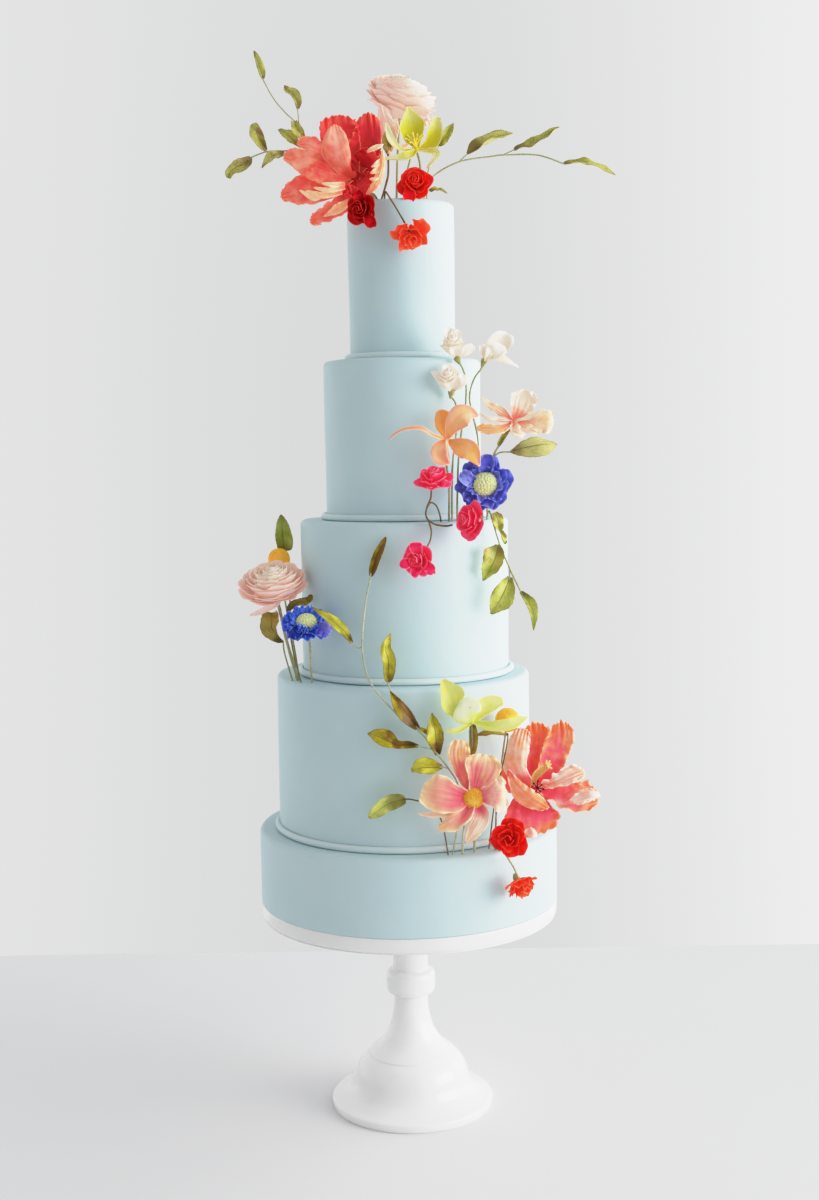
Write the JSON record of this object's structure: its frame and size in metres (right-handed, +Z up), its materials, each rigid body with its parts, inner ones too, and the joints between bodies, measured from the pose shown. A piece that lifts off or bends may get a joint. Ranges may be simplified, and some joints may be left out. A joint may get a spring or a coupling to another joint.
{
  "type": "tiered wedding cake on a pedestal stand",
  "caption": "Tall round wedding cake in pale blue sugar paste, dressed with sprays of sugar flowers on wires, on a white pedestal stand.",
  "frame": {"origin": "centre of the underside of the stand's foot", "axes": "+Z up along the cake's axis; -Y is the front, where the flowers are; +X is to the right seen from the front"},
  "size_m": [0.3928, 0.3335, 1.0921],
  "materials": {
    "stand": "gloss white glaze",
    "icing": "smooth satin sugar paste, pale duck-egg blue",
    "band": "smooth satin sugar paste, paler blue",
    "coral_petals": "matt sugar petal dusted coral with orange fringed rims",
    "blush_petals": "matt sugar petal, pale blush pink",
    "peach_petals": "matt sugar petal dusted peach and rose",
    "lime_petals": "matt sugar petal, yellow green",
    "red_petals": "matt sugar petal, scarlet",
    "crimson_petals": "matt sugar petal, crimson pink",
    "orange_petals": "matt sugar petal, apricot orange",
    "blue_petals": "matt sugar petal, violet blue with a beaded green disc",
    "white_petals": "matt sugar petal, ivory",
    "golden_ball": "grained golden sugar ball",
    "green_leaves": "matt sugar leaf, olive and lime green with dark midribs, on a thin wire",
    "brown_leaves": "matt sugar leaf, olive brown",
    "wire": "floral wire wrapped in brown green tape"
  },
  "bodies": {
    "root": {"stand": "stand", "tier_1_bottom": "icing", "tier_2": "icing", "tier_3": "icing", "tier_4": "icing", "tier_5_top": "icing", "board_under_tier_2": "band", "board_under_tier_3": "band", "board_under_tier_4": "band", "board_under_tier_5_top": "band", "tulip_top": "coral_petals", "tulip_low": "coral_petals", "ranunculus_top": "blush_petals", "ranunculus_left": "blush_petals", "bloom_blush": "blush_petals", "bloom_peach": "peach_petals", "cosmos_side": "peach_petals", "cosmos_front": "peach_petals", "hellebore_top": "lime_petals", "hellebore_low": "lime_petals", "rose_top_right": "red_petals", "rose_top_left": "red_petals", "rose_top_hanging": "red_petals", "rose_low": "red_petals", "rose_low_hanging": "red_petals", "rose_right_upper": "crimson_petals", "rose_right_middle": "crimson_petals", "rose_right_lower": "crimson_petals", "orchid": "orange_petals", "anemone_right": "blue_petals", "anemone_left": "blue_petals", "bud_upper_left": "white_petals", "bud_upper_right": "white_petals", "bud_lower": "white_petals", "craspedia_left": "golden_ball", "craspedia_low": "golden_ball", "branch_left": "green_leaves", "branch_right": "green_leaves", "branch_trailing": "green_leaves", "leaf_upright": "green_leaves", "vine_long": "green_leaves", "leaf_top_slim": "green_leaves", "leaf_top_small": "green_leaves", "leaf_low_left": "green_leaves", "leaf_curled": "brown_leaves", "leaf_brown": "brown_leaves", "leaf_thin_brown": "brown_leaves", "vine_curl": "wire"}
  },
  "joints": []
}
